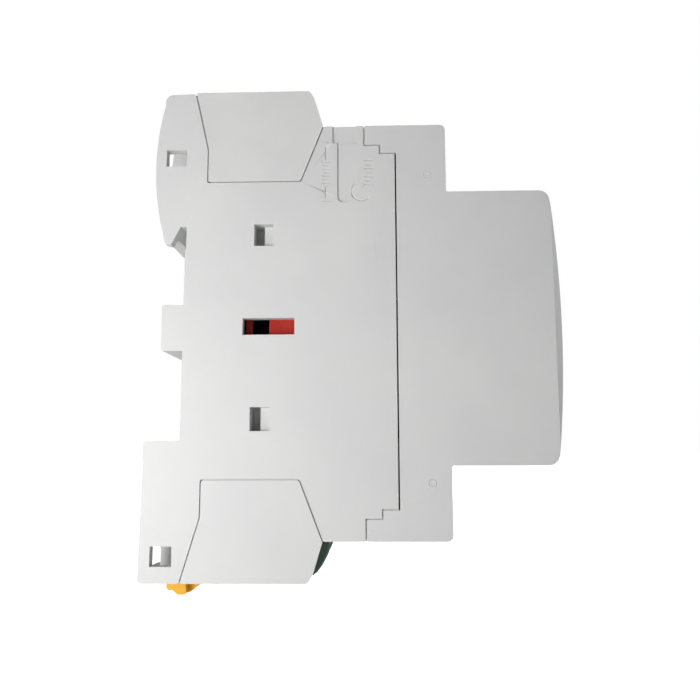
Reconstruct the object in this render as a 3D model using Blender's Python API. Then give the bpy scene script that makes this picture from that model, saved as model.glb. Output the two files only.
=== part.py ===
"""Two-pole residual current device for a 35 mm top-hat rail, in its open (off) position.

Metres, +Z up. X is the width, the front faces -Y and the rail side faces +Y.
Y = 0 is the plane that seats on the rail, Z = 0 is the middle of the 45 mm nose.
Sizes below are millimetres. Profiles are drawn in the (depth, height) plane, where
depth is the distance in front of the rail plane, and are extruded along X.
"""
import math

import bmesh
import bpy
from mathutils import Matrix, Vector

MM = 0.001

# Driving dimensions
HALF_WIDTH = 17.8            # two 18 mm modules, less the usual play
WALL = 1.8
INNER = HALF_WIDTH - WALL
TOP = 40.4                   # half height of the housing
SHOULDER_Z = 34.2
SHOULDER_DEPTH = 43.4
NOSE_Z = 22.5                # 45 mm cut-out of the distribution board
FRONT_DEPTH = 62.1
FRONT_RADIUS = 126.0
BACK_DEPTH = -5.3            # bowed back of the upper end
BACK_RADIUS = 46.0
BACK_Z = 27.5
BLOCK_Z = 24.6               # inner edge of the terminal blocks
RAIL_TOP = 17.0              # upper edge of the rail notch
RAIL_BOTTOM = -18.5
POLE_X = 8.3                 # poles stand at +X and -X
TERMINAL_Z = 36.6            # terminal screw axes
SCREW_HEAD_DEPTH = 18.2
SCREW_TIP_DEPTH = 12.5
BUSBAR_DEPTH = 11.2
BUSBAR_THICK = 1.0
BUSBAR_WIDTH = 5.6

TOGGLE_AXIS = (50.0, 0.0)
TOGGLE_X = (-13.4, -2.6)
TOGGLE_SWING = 38.0          # degrees either side of straight ahead
DRUM_RADIUS = 7.6
LEVER_RADIUS = 13.2
TOGGLE_CRANK = 5.0
CARRIER_AXIS = (25.5, 2.0)
CARRIER_SWING = 27.4         # degrees between open and closed contacts
CARRIER_CRANK = 13.2
CRANK_TILT = 13.5            # crank below the level when the contacts are closed
LINK_X = (-6.2, -5.0)
TRIP_AXIS = (13.0, 9.0)
TOROID_AXIS = (0.0, 28.0)    # x, depth
TOROID_Z = (-17.0, -9.0)
RELAY_AXIS = (7.0, 7.2)      # x, depth
BUTTON_AXIS = (8.3, 14.2)    # x, z
CLIP_TOP = -18.9
CLIP_TIP = -44.35

COLOURS = {
    "grey_plastic": ((0.62, 0.63, 0.63), 0.55, 0.0),
    "yellow_plastic": ((0.86, 0.55, 0.07), 0.45, 0.0),
    "green_plastic": ((0.05, 0.12, 0.07), 0.5, 0.0),
    "red_plastic": ((0.45, 0.03, 0.02), 0.45, 0.0),
    "black_plastic": ((0.02, 0.02, 0.022), 0.45, 0.0),
    "white_plastic": ((0.8, 0.8, 0.78), 0.5, 0.0),
    "clear_plastic": ((0.8, 0.85, 0.85), 0.1, 0.0),
    "blue_plastic": ((0.03, 0.12, 0.4), 0.45, 0.0),
    "copper": ((0.72, 0.33, 0.18), 0.35, 1.0),
    "brass": ((0.72, 0.55, 0.25), 0.35, 1.0),
    "steel": ((0.55, 0.56, 0.57), 0.35, 1.0),
    "ceramic": ((0.55, 0.42, 0.3), 0.6, 0.0),
    "grey_core": ((0.12, 0.12, 0.13), 0.5, 0.0),
}


# ---------------------------------------------------------------- drawing tools

def clear_scene():
    for item in list(bpy.data.objects):
        bpy.data.objects.remove(item, do_unlink=True)


def material(name):
    found = bpy.data.materials.get(name)
    if found:
        return found
    colour, roughness, metallic = COLOURS[name]
    made = bpy.data.materials.new(name)
    made.use_nodes = True
    shader = made.node_tree.nodes["Principled BSDF"]
    shader.inputs["Base Color"].default_value = (*colour, 1.0)
    shader.inputs["Roughness"].default_value = roughness
    shader.inputs["Metallic"].default_value = metallic
    return made


def point(x, depth, height):
    return Vector((x * MM, -depth * MM, height * MM))


def rounded(corners, steps=4):
    """Outline through (depth, height, radius) corners, each one rounded by an arc."""
    outline = []
    count = len(corners)
    for index, (d, z, radius) in enumerate(corners):
        here = Vector((d, z))
        if radius == 0:
            outline.append((d, z))
            continue
        before = (Vector(corners[index - 1][:2]) - here).normalized()
        after = (Vector(corners[(index + 1) % count][:2]) - here).normalized()
        half = before.angle(after) / 2
        reach = radius / math.tan(half)
        centre = here + (before + after).normalized() * (radius / math.sin(half))
        start = here + before * reach - centre
        turn = start.angle_signed(here + after * reach - centre)
        for step in range(steps + 1):
            swing = Matrix.Rotation(-turn * step / steps, 2)
            outline.append(tuple(centre + swing @ start))
    return outline


def front_arc(z_from, z_to, inset=0.0, steps=12):
    """Points along the bowed front, set back by inset."""
    centre = FRONT_DEPTH - FRONT_RADIUS
    radius = FRONT_RADIUS - inset
    heights = [z_from + (z_to - z_from) * i / steps for i in range(steps + 1)]
    return [(centre + math.sqrt(radius**2 - z * z), z) for z in heights]


def back_arc(z_from, z_to, steps=10):
    """Points along the bowed back of the upper end."""
    heights = [z_from + (z_to - z_from) * i / steps for i in range(steps + 1)]
    return [(BACK_DEPTH + BACK_RADIUS - math.sqrt(BACK_RADIUS**2 - (z - BACK_Z)**2), z)
            for z in heights]


def mirrored(corners):
    """The same corners upside down, in the order that keeps the outline going round."""
    return [(c[0], -c[1], *c[2:]) for c in reversed(corners)]


def flip(level, corners):
    """Corners drawn for the upper end, turned over for the lower end when level is -1."""
    return corners if level > 0 else mirrored(corners)


def span(level, low, high):
    """The pair low and high on the side that level (1 or -1) names, in rising order."""
    return tuple(sorted((level * low, level * high)))


def finish_mesh(name, mesh_data, finish=None, origin=None, smooth=True):
    """Object from a bmesh, with its origin at origin; without a finish it is a cutter."""
    bmesh.ops.remove_doubles(mesh_data, verts=mesh_data.verts, dist=1e-7)
    bmesh.ops.recalc_face_normals(mesh_data, faces=mesh_data.faces)
    place = origin if origin is not None else Vector((0, 0, 0))
    bmesh.ops.translate(mesh_data, verts=mesh_data.verts, vec=-place)
    mesh = bpy.data.meshes.new(name)
    mesh_data.to_mesh(mesh)
    mesh_data.free()
    made = bpy.data.objects.new(name, mesh)
    made.location = place
    bpy.context.scene.collection.objects.link(made)
    if finish:
        mesh.materials.append(material(finish))
        if smooth:
            mesh.shade_smooth()
            mesh.set_sharp_from_angle(angle=math.radians(30))
    else:
        made.hide_render = True
        made.display_type = "WIRE"
    return made


def prism(name, outline, x_from, x_to, finish=None, origin=None):
    """Extrude a (depth, height) outline along X."""
    data = bmesh.new()
    ring = [data.verts.new(point(x_from, d, z)) for d, z in outline]
    face = data.faces.new(ring)
    grown = bmesh.ops.extrude_face_region(data, geom=[face])["geom"]
    moved = [g for g in grown if isinstance(g, bmesh.types.BMVert)]
    bmesh.ops.translate(data, verts=moved, vec=((x_to - x_from) * MM, 0, 0))
    return finish_mesh(name, data, finish, origin, smooth=False)


def plate(name, outline, z_from, z_to, finish=None, origin=None):
    """Extrude an (x, depth) outline along Z."""
    data = bmesh.new()
    ring = [data.verts.new(point(x, d, z_from)) for x, d in outline]
    face = data.faces.new(ring)
    grown = bmesh.ops.extrude_face_region(data, geom=[face])["geom"]
    moved = [g for g in grown if isinstance(g, bmesh.types.BMVert)]
    bmesh.ops.translate(data, verts=moved, vec=(0, 0, (z_to - z_from) * MM))
    return finish_mesh(name, data, finish, origin, smooth=False)


def box(name, x, depth, height, finish=None, origin=None):
    """Block between the pairs x, depth and height."""
    outline = [(depth[0], height[0]), (depth[1], height[0]),
               (depth[1], height[1]), (depth[0], height[1])]
    return prism(name, outline, x[0], x[1], finish, origin)


def turned(name, profile, centre, along, finish=None, origin=None, steps=24):
    """Turn a (radius, distance) profile about the X, depth (D) or Z axis through centre."""
    axes = {"X": ((1, 0, 0), (0, 0, 1)), "D": ((0, -1, 0), (1, 0, 0)), "Z": ((0, 0, 1), (1, 0, 0))}
    axis, out = (Vector(v) for v in axes[along])
    start = point(*centre)
    data = bmesh.new()
    verts = [data.verts.new(start + axis * s * MM + out * r * MM) for r, s in profile]
    edges = [data.edges.new((verts[i], verts[(i + 1) % len(verts)])) for i in range(len(verts))]
    bmesh.ops.spin(data, geom=verts + edges, cent=start, axis=axis, angle=math.tau,
                   steps=steps, use_merge=True)
    bmesh.ops.remove_doubles(data, verts=data.verts, dist=1e-7)
    return finish_mesh(name, data, finish, origin)


def rod(name, radius, centre, along, length, finish=None, origin=None, steps=24):
    """Solid cylinder that starts at centre."""
    profile = [(0, 0), (radius, 0), (radius, length), (0, length)]
    return turned(name, profile, centre, along, finish, origin, steps)


def tube(name, route, radius, finish, sides=8):
    """Round bar along a route of points, with flat ends."""
    data = bmesh.new()
    count = len(route)
    side = None
    rings = []
    for index, spot in enumerate(route):
        ahead = route[min(index + 1, count - 1)] - route[max(index - 1, 0)]
        ahead.normalize()
        if side is None:
            side = ahead.orthogonal().normalized()
        side = (side - ahead * side.dot(ahead)).normalized()
        other = ahead.cross(side)
        ring = []
        for step in range(sides):
            turn = math.tau * step / sides
            ring.append(data.verts.new(spot + radius * MM * (side * math.cos(turn)
                                                             + other * math.sin(turn))))
        rings.append(ring)
    for ring, following in zip(rings, rings[1:]):
        bmesh.ops.bridge_loops(data, edges=ring_edges(data, ring) + ring_edges(data, following))
    data.faces.new(rings[0])
    data.faces.new(rings[-1])
    return finish_mesh(name, data, finish)


def ring_edges(data, ring):
    edges = []
    for first, second in zip(ring, ring[1:] + ring[:1]):
        edges.append(data.edges.get((first, second)) or data.edges.new((first, second)))
    return edges


def smooth_route(points, per_span=5):
    """Catmull-Rom curve through the points."""
    ends = [points[0] * 2 - points[1]] + points + [points[-1] * 2 - points[-2]]
    route = []
    for a, b, c, d in zip(ends, ends[1:], ends[2:], ends[3:]):
        for step in range(per_span):
            t = step / per_span
            route.append(0.5 * (2 * b + (c - a) * t + (2 * a - 5 * b + 4 * c - d) * t * t
                                + (3 * b - a - 3 * c + d) * t**3))
    route.append(points[-1])
    return route


def coil(centre, along, coil_radius, length, turns, per_turn=10):
    """Points of a helix from centre along the X or depth (D) axis."""
    route = []
    for step in range(int(turns * per_turn) + 1):
        turn = math.tau * step / per_turn
        on = length * step / (turns * per_turn)
        u, v = coil_radius * math.cos(turn), coil_radius * math.sin(turn)
        if along == "X":
            route.append(point(centre[0] + on, centre[1] + u, centre[2] + v))
        else:
            route.append(point(centre[0] + u, centre[1] + on, centre[2] + v))
    return route


def combine(target, operation, tools):
    """One exact Boolean with all the tools at once."""
    group = bpy.data.collections.new(f"{target.name}_{tools[0].name}")
    for tool in tools:
        group.objects.link(tool)
        tool.hide_render = True
        tool.display_type = "WIRE"
    step = target.modifiers.new(group.name, "BOOLEAN")
    step.operation = operation
    step.solver = "EXACT"
    step.operand_type = "COLLECTION"
    step.collection = group
    return target


def cut(target, *tools):
    return combine(target, "DIFFERENCE", tools)


def join(target, *tools):
    return combine(target, "UNION", tools)


def axis_empty(name, depth, height, x=0.0):
    """Empty on a joint axis; the pieces that turn on it are its children."""
    made = bpy.data.objects.new(name, None)
    made.location = point(x, depth, height)
    bpy.context.scene.collection.objects.link(made)
    bpy.context.view_layer.update()
    return made


def carry(parent, *pieces):
    """Parent pieces that were drawn in world coordinates, and their cutters with them."""
    for piece in pieces:
        tools = [tool for m in piece.modifiers if m.type == "BOOLEAN" for tool in m.collection.objects]
        for item in (piece, *tools):
            item.parent = parent
            item.matrix_parent_inverse = parent.matrix_world.inverted()


# ---------------------------------------------------------------- housing

def base_housing():
    """Rear shell: open at the front, hooked over the rail, hollow behind both ends."""
    upper = [(-4.0, 40.3, 1.3), (1.1, TOP, 0.2), (3.4, 30.5, 0), (3.4, BLOCK_Z - 0.1, 0.4),
             (19.3, BLOCK_Z - 0.1, 0.5), (23.1, SHOULDER_Z, 0.3), (29.7, SHOULDER_Z, 0.1)]
    seam = [(29.7, 30.65, 0), (32.3, 30.65, 0), (32.3, 29.2, 0), (34.9, 29.2, 0)]
    lower = [(29.7, -SHOULDER_Z, 0.1), (23.1, -SHOULDER_Z, 0.3), (19.3, -BLOCK_Z + 0.1, 0.5),
             (3.4, -BLOCK_Z + 0.1, 0.4), (3.4, -30.5, 0), (0.4, -40.6, 0.3), (-6.1, -40.6, 0.7),
             (-5.8, RAIL_BOTTOM, 0.8), (0, RAIL_BOTTOM, 0.25), (0, 13.0, 0), (0.2, 13.3, 0),
             (0.2, RAIL_TOP, 0.3), (-0.8, RAIL_TOP, 0.3), (-2.35, 13.9, 0.35), (-3.5, 14.1, 0.6)]
    back = [(d, z, 0) for d, z in back_arc(15.4, 38.4)]
    outline = rounded(upper + seam + mirrored(seam) + lower + back)
    body = prism("base_housing", outline, -HALF_WIDTH, HALF_WIDTH, "grey_plastic")

    half = [(2.2, 22.8), (20.4, 22.8), (24.3, 32.5), (36.0, 32.5)]
    room = prism("cut_room", half + mirrored(half), -INNER, INNER)
    hook_relief = box("cut_hook", (-INNER, INNER), (-6, -0.3), (12.0, 15.3))
    cut(body, room, hook_relief)

    solids = []
    holes = [box("cut_slot", (-HALF_WIDTH - 1, -INNER + 1), (9.8, 18.3), (-1.35, 1.4)),
             box("cut_clip_rear", (-6.6, 6.6), (-8, -1.0), (-42, -17)),
             box("cut_clip_rails", (-7.9, 7.9), (-2.9, -0.9), (-42, -17)),
             box("cut_clip_ramp", (-4.8, 4.8), (-2.0, 3.3), (-42, -37.3))]
    for side in (-1, 1):
        tag = "left" if side < 0 else "right"
        block = rounded([(-3.5, -3.9, 0.3), (0.6, -3.9, 0), (0.6, 3.7, 0), (-3.5, 3.7, 0.3)])
        solids.append(prism(f"join_block_{tag}", block, *span(side, 6.0, HALF_WIDTH)))
        for level in (-1, 1):
            end = "lower" if level < 0 else "upper"
            near, pocket_z = (11.5, (13.55, 17.25)) if level > 0 else (11.2, (-16.95, -13.1))
            solids.append(box(f"join_boss_{end}_{tag}", span(side, 7.9, INNER + 0.5), (10.4, 15.5),
                              span(level, 12.4, 18.0)))
            holes.append(box(f"cut_pocket_{end}_{tag}", span(side, INNER, HALF_WIDTH + 1),
                             (near, near + 3.2), pocket_z))
            holes.append(box(f"cut_deep_pocket_{end}_{tag}", span(side, 13.6, HALF_WIDTH),
                             (near, near + 1.5), pocket_z))
            holes.append(box(f"cut_bar_{end}_{tag}", span(side, POLE_X - 3.2, POLE_X + 3.2),
                             (BUSBAR_DEPTH - 0.4, BUSBAR_DEPTH + BUSBAR_THICK + 0.4),
                             span(level, 22.0, 25.5)))
        for name, (depth, height), reach in (("carrier", CARRIER_AXIS, 1.2), ("trip", TRIP_AXIS, 0.7)):
            start, end = span(side, INNER - reach, INNER + 0.4)
            solids.append(rod(f"join_{name}_{tag}", 2.1, (start, depth, height), "X", end - start))
            start, end = span(side, INNER - reach - 1, INNER + 0.2)
            holes.append(rod(f"cut_{name}_{tag}", 1.2, (start, depth, height), "X", end - start,
                             steps=16))
        walls = span(side, INNER - 1, HALF_WIDTH + 1)
        holes += [box(f"cut_rear_upper_{tag}", span(side, 8.6, INNER), (-8, 0.0), (20.5, 38.6)),
                  box(f"cut_rear_lower_{tag}", span(side, 11.1, INNER), (-8, -0.7), (-38.9, -20.2)),
                  box(f"cut_rear_notch_{tag}", span(side, 6.2, 12.3), (-8, -4.4), (-38.9, -34.4)),
                  box(f"cut_window_upper_{tag}", walls, (-3.55, -0.1), (27.5, 30.4)),
                  box(f"cut_window_lower_{tag}", walls, (-4.25, -0.8), (-38.05, -34.95)),
                  keyhole_groove(f"cut_groove_{tag}", side)]
    for level, end in ((1, "upper"), (-1, "lower")):
        solids.append(box(f"join_seam_lip_{end}", (-17.3, 17.3), (29.0, 30.4),
                          span(level, 32.0, 33.75)))
    join(body, *solids)
    return cut(body, *holes)


def keyhole_groove(name, side):
    """Shallow groove on the side: a wide head at the shoulder and a round-ended tail."""
    outline = rounded([(24.5, 35.0, 0), (24.5, 31.2, 0.2), (25.3, 31.2, 0.2), (25.3, 20.9, 0.9),
                       (27.6, 20.9, 0.9), (27.6, 31.2, 0.2), (28.5, 31.2, 0.2), (28.5, 35.0, 0)])
    return prism(name, outline, *span(side, HALF_WIDTH - 0.3, HALF_WIDTH + 1))


def front_cover():
    """Front shell with the nose, the toggle well, the button guide and the label recess."""
    arc = front_arc(20.4, -20.4)
    corner = front_arc(NOSE_Z, 0)[0][0]
    top = [(29.9, SHOULDER_Z, 0.1), (SHOULDER_DEPTH, SHOULDER_Z, 0.9),
           (SHOULDER_DEPTH, NOSE_Z, 0.3), (corner, NOSE_Z, 1.7)]
    seam = [(35.15, 29.4, 0), (32.5, 29.4, 0), (32.5, 30.85, 0), (29.9, 30.85, 0)]
    outline = rounded(top + [(d, z, 0) for d, z in arc] + mirrored(top) + mirrored(seam) + seam)
    body = prism("front_cover", outline, -HALF_WIDTH, HALF_WIDTH, "grey_plastic")

    half = [(29.0, 32.5), (41.7, 32.5), (41.7, 20.8)]
    inner_arc = front_arc(20.0, -20.0, inset=1.9)
    room = half + [(58.3, 20.8)] + inner_arc + [(58.3, -20.8)] + mirrored(half)
    cut(body, prism("cut_cover_room", room, -INNER, INNER))

    well_x = (-14.0, -2.0)
    depth, height = TOGGLE_AXIS
    x, z = BUTTON_AXIS
    slope = [(64, 13.5), (60.7, 13.2), (53.4, 7.9), (50, 7.9)]
    solids = [box("join_well", (-INNER - 0.3, well_x[1] + 1.4), (52.5, 60.7), (-14.6, 14.6)),
              rod("join_guide", 5.2, (x, 49.0, z), "D", 11.2, steps=32)]
    holes = [prism("cut_well", slope + mirrored(slope), *well_x),
             rod("cut_drum", DRUM_RADIUS + 0.4, (well_x[0] + 0.1, depth, height), "X",
                 well_x[1] - well_x[0] - 0.2, steps=40),
             rod("cut_guide_bore", 4.5, (x, 50.0, z), "D", 9.4, steps=32),
             rod("cut_button_hole", 3.5, (x, 58.0, z), "D", 8, steps=32),
             rod("cut_stem_hole", 1.75, (x, 48.0, z), "D", 3, steps=16),
             box("cut_status_hole", (4.9, 11.7), (58, 64), (-2.2, 2.2)),
             prism("cut_label_recess", [(64, -5.7), (64, -18.3)]
                   + front_arc(-18.3, -5.7, inset=0.9, steps=6), 1.6, 15.0)]
    for side in (-1, 1):
        tag = "left" if side < 0 else "right"
        start, end = span(side, INNER - 1.2, INNER + 0.3)
        solids.append(rod(f"join_axle_{tag}", 2.4, (start, depth, height), "X", end - start))
        start, end = span(side, INNER - 2, INNER + 0.1)
        edge = [(side * 19.0, 59.63), (side * 19.0, 64.0), (side * 13.0, 64.0)]
        holes += [rod(f"cut_axle_{tag}", 1.5, (start, depth, height), "X", end - start, steps=16),
                  plate(f"cut_edge_{tag}", edge, -NOSE_Z - 1, NOSE_Z + 1)]
    for level, end in ((1, "upper"), (-1, "lower")):
        holes.append(box(f"cut_seam_lip_{end}", (-17.4, 17.4), (29.0, 30.5),
                         span(level, 31.9, 33.85)))
    join(body, *solids)
    return cut(body, *holes)


# ---------------------------------------------------------------- terminals

def terminal_block(level):
    """Chamber block that carries two terminals; its cheeks close the housing's end."""
    end = "upper" if level > 0 else "lower"
    back = 1.3 if level > 0 else 0.6
    outline = rounded(flip(level, [
        (back, 40.6, 0.2), (3.6, 30.5, 0), (3.6, BLOCK_Z + 0.1, 0.4),
        (19.15, BLOCK_Z + 0.1, 0.5), (22.9, 34.3, 0.3), (21.4, 39.3, 1.0), (20.6, 40.6, 0.8)]))
    body = prism(f"{end}_terminal_block", outline, -HALF_WIDTH, HALF_WIDTH, "grey_plastic")
    seat = flip(level, [(20.6, 33.2), (26, 33.2), (26, 42), (19.6, 42), (20.6, 39.2)])
    chamber = flip(level, [(5.0, 26.4), (18.0, 26.4), (21.0, 33.9), (21.0, 39.2), (5.0, 39.2)])
    holes = [prism(f"cut_seat_{end}", seat, -15.6, 15.6)]
    for side in (-1, 1):
        tag = f"{end}_{side}"
        holes += [prism(f"cut_chamber_{tag}", chamber, *span(side, 1.0, 15.4)),
                  box(f"cut_entry_{tag}", span(side, POLE_X - 4.4, POLE_X + 4.4), (6.0, 14.6),
                      span(level, 39.0, 42.0)),
                  box(f"cut_tongue_{tag}", span(side, POLE_X - 3.2, POLE_X + 3.2),
                      (BUSBAR_DEPTH - 0.4, BUSBAR_DEPTH + BUSBAR_THICK + 0.4),
                      span(level, 24.0, 27.0))]
    if level < 0:
        holes.append(box("cut_ramp_relief", (-4.8, 4.8), (-1, 3.3), (-42, -37.3)))
    return cut(body, *holes)


def terminal_shield(level):
    """Cover over the screw heads, bowed at the lower end, with a driver hole at each pole."""
    end = "upper" if level > 0 else "lower"
    flush = [(22.6, 34.6), (21.4, 38.6), (21.2, 39.3), (20.9, 39.3), (20.9, 34.6)]
    bowed = [(23.95, 34.6), (23.85, 35.3), (23.5, 36.5), (22.7, 38.0), (21.4, 39.7),
             (20.95, 39.5), (21.2, 38.0), (21.8, 36.4), (22.3, 34.6)]
    outline = flush if level > 0 else mirrored(bowed)
    body = prism(f"{end}_terminal_shield", outline, -15.3, 15.3, "green_plastic")
    return cut(body, *[rod(f"cut_shield_{end}_{side}", 2.1, (side * POLE_X, 20, level * TERMINAL_Z),
                           "D", 6) for side in (-1, 1)])


def terminal_screw(level, side, name):
    """Slotted screw that stays in place and draws the cage towards its head."""
    centre = (side * POLE_X, SCREW_TIP_DEPTH, level * TERMINAL_Z)
    shank = SCREW_HEAD_DEPTH - SCREW_TIP_DEPTH
    profile = [(0, 0), (1.2, 0), (1.6, 0.4), (1.6, shank), (2.3, shank), (2.3, shank + 1.5),
               (2.0, shank + 1.8), (0, shank + 1.8)]
    body = turned(f"terminal_screw_{name}", profile, centre, "D", "steel", point(*centre), steps=20)
    slot = box(f"cut_screw_{name}", (side * POLE_X - 2.6, side * POLE_X + 2.6),
               (SCREW_HEAD_DEPTH + 0.7, SCREW_HEAD_DEPTH + 3),
               (level * TERMINAL_Z - 0.4, level * TERMINAL_Z + 0.4))
    return cut(body, slot)


def terminal_cage(level, side, name):
    """Lift cage: a box open to the cable, threaded on the screw."""
    centre = point(side * POLE_X, SCREW_TIP_DEPTH, level * TERMINAL_Z)
    body = box(f"terminal_cage_{name}", (side * POLE_X - 4.2, side * POLE_X + 4.2), (5.3, 14.1),
               span(level, 33.6, 38.8), "brass", centre)
    tag = f"{name}"
    return cut(body,
               box(f"cut_cage_{tag}", (side * POLE_X - 3.2, side * POLE_X + 3.2), (6.4, 12.6),
                   span(level, 32.0, 40.0)),
               rod(f"cut_thread_{tag}", 1.95, (side * POLE_X, 12, level * TERMINAL_Z), "D", 4,
                   steps=16))


def supply_busbar(side, name):
    """Upper busbar: tongue in the cage, foot along the floor, and the fixed contact."""
    back, front = BUSBAR_DEPTH, BUSBAR_DEPTH + BUSBAR_THICK
    outline = [(back, 38.2), (front, 38.2), (front, 21.4), (27.8, 21.4), (27.8, 12.5),
               (26.8, 12.5), (26.8, 20.4), (back, 20.4)]
    left = side * POLE_X - BUSBAR_WIDTH / 2
    body = prism(f"fixed_contact_{name}", outline, left, left + BUSBAR_WIDTH, "copper")
    return join(body, rod(f"join_tip_{name}", 1.6, (side * POLE_X, 25.5, 16.0), "D", 1.6, steps=16))


def load_busbar(side, name):
    back, front = BUSBAR_DEPTH, BUSBAR_DEPTH + BUSBAR_THICK
    outline = [(back, -38.2), (front, -38.2), (front, -21.4), (17.5, -21.4), (17.5, -20.4),
               (back, -20.4)]
    left = side * POLE_X - BUSBAR_WIDTH / 2
    return prism(f"load_busbar_{name}", outline, left, left + BUSBAR_WIDTH, "copper")


def conductor(side, name):
    """Insulated conductor from the load busbar through the toroid to the moving contact."""
    route = [point(side * POLE_X, 17.9, -20.9), point(side * 7.4, 21.0, -20.9),
             point(side * 4.2, 25.6, -20.7), point(side * 2.2, 28.0, -18.2),
             point(side * 2.2, 28.0, -13.0), point(side * 2.4, 28.0, -8.0),
             point(side * 5.6, 27.0, -4.6), point(side * POLE_X, 25.5, -1.3)]
    return tube(f"{name}_conductor", smooth_route(route, per_span=4), 1.2, "blue_plastic"
                if name == "neutral" else "black_plastic")


# ---------------------------------------------------------------- contacts and toggle

def contact_carrier(axis):
    """Moulded bar that swings both moving contacts; drawn with the contacts closed."""
    depth, height = CARRIER_AXIS
    body = rod("contact_carrier", 2.6, (-13.2, depth, height), "X", 26.4, "black_plastic",
               axis.location, steps=24)
    holder = [(19.3, 8.5), (19.3, 3.0), (25.8, 3.0), (25.8, 8.8), (24.7, 8.8), (24.7, 4.6),
              (20.3, 4.6), (20.3, 8.5)]
    holders = [prism(f"join_holder_{side}", holder, side * POLE_X - 3.2, side * POLE_X + 3.2)
               for side in (-1, 1)]
    tilt = math.radians(-CRANK_TILT)
    end = (depth + CARRIER_CRANK * math.cos(tilt), height + CARRIER_CRANK * math.sin(tilt))
    crank = stadium((depth, height), end, 1.6)
    join(body, prism("join_crank", crank, -9.2, -6.8),
         rod("join_crank_pin", 0.8, (-8.0, *end), "X", 3.6, steps=12), *holders)
    return cut(body, rod("cut_carrier_bore", 1.2, (-14, depth, height), "X", 28, steps=16))


def stadium(start, end, radius, steps=6):
    """Outline of a flat bar with round ends."""
    a, b = Vector(start), Vector(end)
    heading = math.atan2((b - a).y, (b - a).x)
    outline = []
    for centre, turn in ((b, heading - math.pi / 2), (a, heading + math.pi / 2)):
        for step in range(steps + 1):
            angle = turn + math.pi * step / steps
            outline.append((centre.x + radius * math.cos(angle), centre.y + radius * math.sin(angle)))
    return outline


def moving_contact(side, name, axis):
    left = side * POLE_X - 2.5
    body = box(f"moving_contact_{name}", (left, left + 5.0), (23.4, 24.4), (4.9, 18.0), "copper",
               axis.location)
    return join(body, rod(f"join_moving_tip_{name}", 1.6, (side * POLE_X, 24.0, 16.0), "D", 1.2,
                          steps=16))


def contact_spring(side, name):
    route = coil((side * POLE_X, 20.7, 6.9), "D", 1.0, 2.3, 3, per_turn=8)
    return tube(f"contact_spring_{name}", route, 0.22, "steel", sides=5)


def toggle_handle(axis):
    """Hollow drum with a lever, drawn pointing straight ahead."""
    depth, height = TOGGLE_AXIS
    left, right = TOGGLE_X
    body = rod("toggle_handle", DRUM_RADIUS, (left, depth, height), "X", right - left,
               "black_plastic", axis.location, steps=48)
    inside = (left + 1.0, right - 1.0)
    tip = depth + LEVER_RADIUS
    lever = rounded([(54.5, 3.4, 0), (54.5, -3.4, 0), (tip, -1.7, 0.7), (tip, 1.7, 0.7)])
    cut(body, box("cut_drum_back", inside, (41, 49), (-9, 9)),
        rod("cut_drum_hub", 4.5, (inside[0], depth, height), "X", inside[1] - inside[0]))
    lug = stadium((depth, height), (depth - TOGGLE_CRANK, height), 1.6)
    join(body, prism("join_lever", lever, left, right),
         rod("join_hub", 2.6, (left + 0.5, depth, height), "X", right - left - 1, steps=20),
         prism("join_lug", lug, -9.2, -6.8),
         rod("join_lug_pin", 0.8, (-8.0, depth - TOGGLE_CRANK, height), "X", 3.6, steps=12))
    return cut(body, rod("cut_toggle_bore", 1.5, (left - 1, depth, height), "X",
                         right - left + 2, steps=16))


def toggle_link(pin):
    """Flat link from the toggle's pin to the slot that rides on the carrier's pin."""
    depth, height = TOGGLE_AXIS
    swing = math.radians(TOGGLE_SWING)
    near = (depth - TOGGLE_CRANK * math.cos(swing), height + TOGGLE_CRANK * math.sin(swing))
    far = (near[0] - 7.0, near[1] + 2.05)
    body = prism("toggle_link", stadium(near, (far[0] - 0.8, far[1]), 2.0), *LINK_X, "steel",
                 pin.location)
    slot = stadium((far[0] - 0.8, far[1]), (far[0] + 0.8, far[1]), 1.15)
    return cut(body, prism("cut_link_slot", slot, LINK_X[0] - 1, LINK_X[1] + 1),
               rod("cut_link_hole", 1.1, (LINK_X[0] - 1, *near), "X", 4, steps=16))


def mechanism_frame():
    """Steel U that holds the toggle's axle on both sides of the drum."""
    side = rounded([(40, -6.5, 0.8), (51.7, -6.5, 0.8), (51.7, 6.5, 0.8), (40, 6.5, 0.8)])
    body = prism("mechanism_frame", side, -14.7, -13.9, "steel")
    join(body, prism("join_frame_side", side, -2.1, -1.3),
         box("join_frame_bridge", (-14.6, -1.4), (40.2, 41.0), (-6.2, -4.6)))
    depth, height = TOGGLE_AXIS
    return cut(body, rod("cut_frame_axle", 1.5, (-16, depth, height), "X", 16, steps=16))


def toggle_spring():
    depth, height = TOGGLE_AXIS
    route = coil((-12.0, depth, height), "X", 3.5, 2.2, 3.25)
    return tube("toggle_spring", route, 0.32, "steel", sides=5)


def status_flag(axis):
    """Two-colour drum segment that turns with the toggle behind the window."""
    depth, height = TOGGLE_AXIS
    body = turned("status_flag", [(1.5, 0), (2.3, 0), (2.3, 8), (1.5, 8)], (4.3, depth, height),
                  "X", "white_plastic", axis.location, steps=16)
    rim = []
    for radius, turns in ((8.6, range(-6, 7)), (7.7, range(6, -7, -1))):
        for step in turns:
            angle = math.radians(10 * step)
            rim.append((depth + radius * math.cos(angle), height + radius * math.sin(angle)))
    return join(body, prism("join_flag_rim", rim, 4.3, 12.3),
                box("join_flag_spoke", (7.7, 8.9), (52.0, 58.2), (-0.9, 0.9)))


# ---------------------------------------------------------------- residual current side

def toroid_core():
    x, depth = TOROID_AXIS
    low, high = TOROID_Z
    profile = [(6.2, 0), (10.4, 0), (10.4, high - low), (6.2, high - low)]
    return turned("toroid_core", profile, (x, depth, low), "Z", "grey_core", steps=32)


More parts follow.
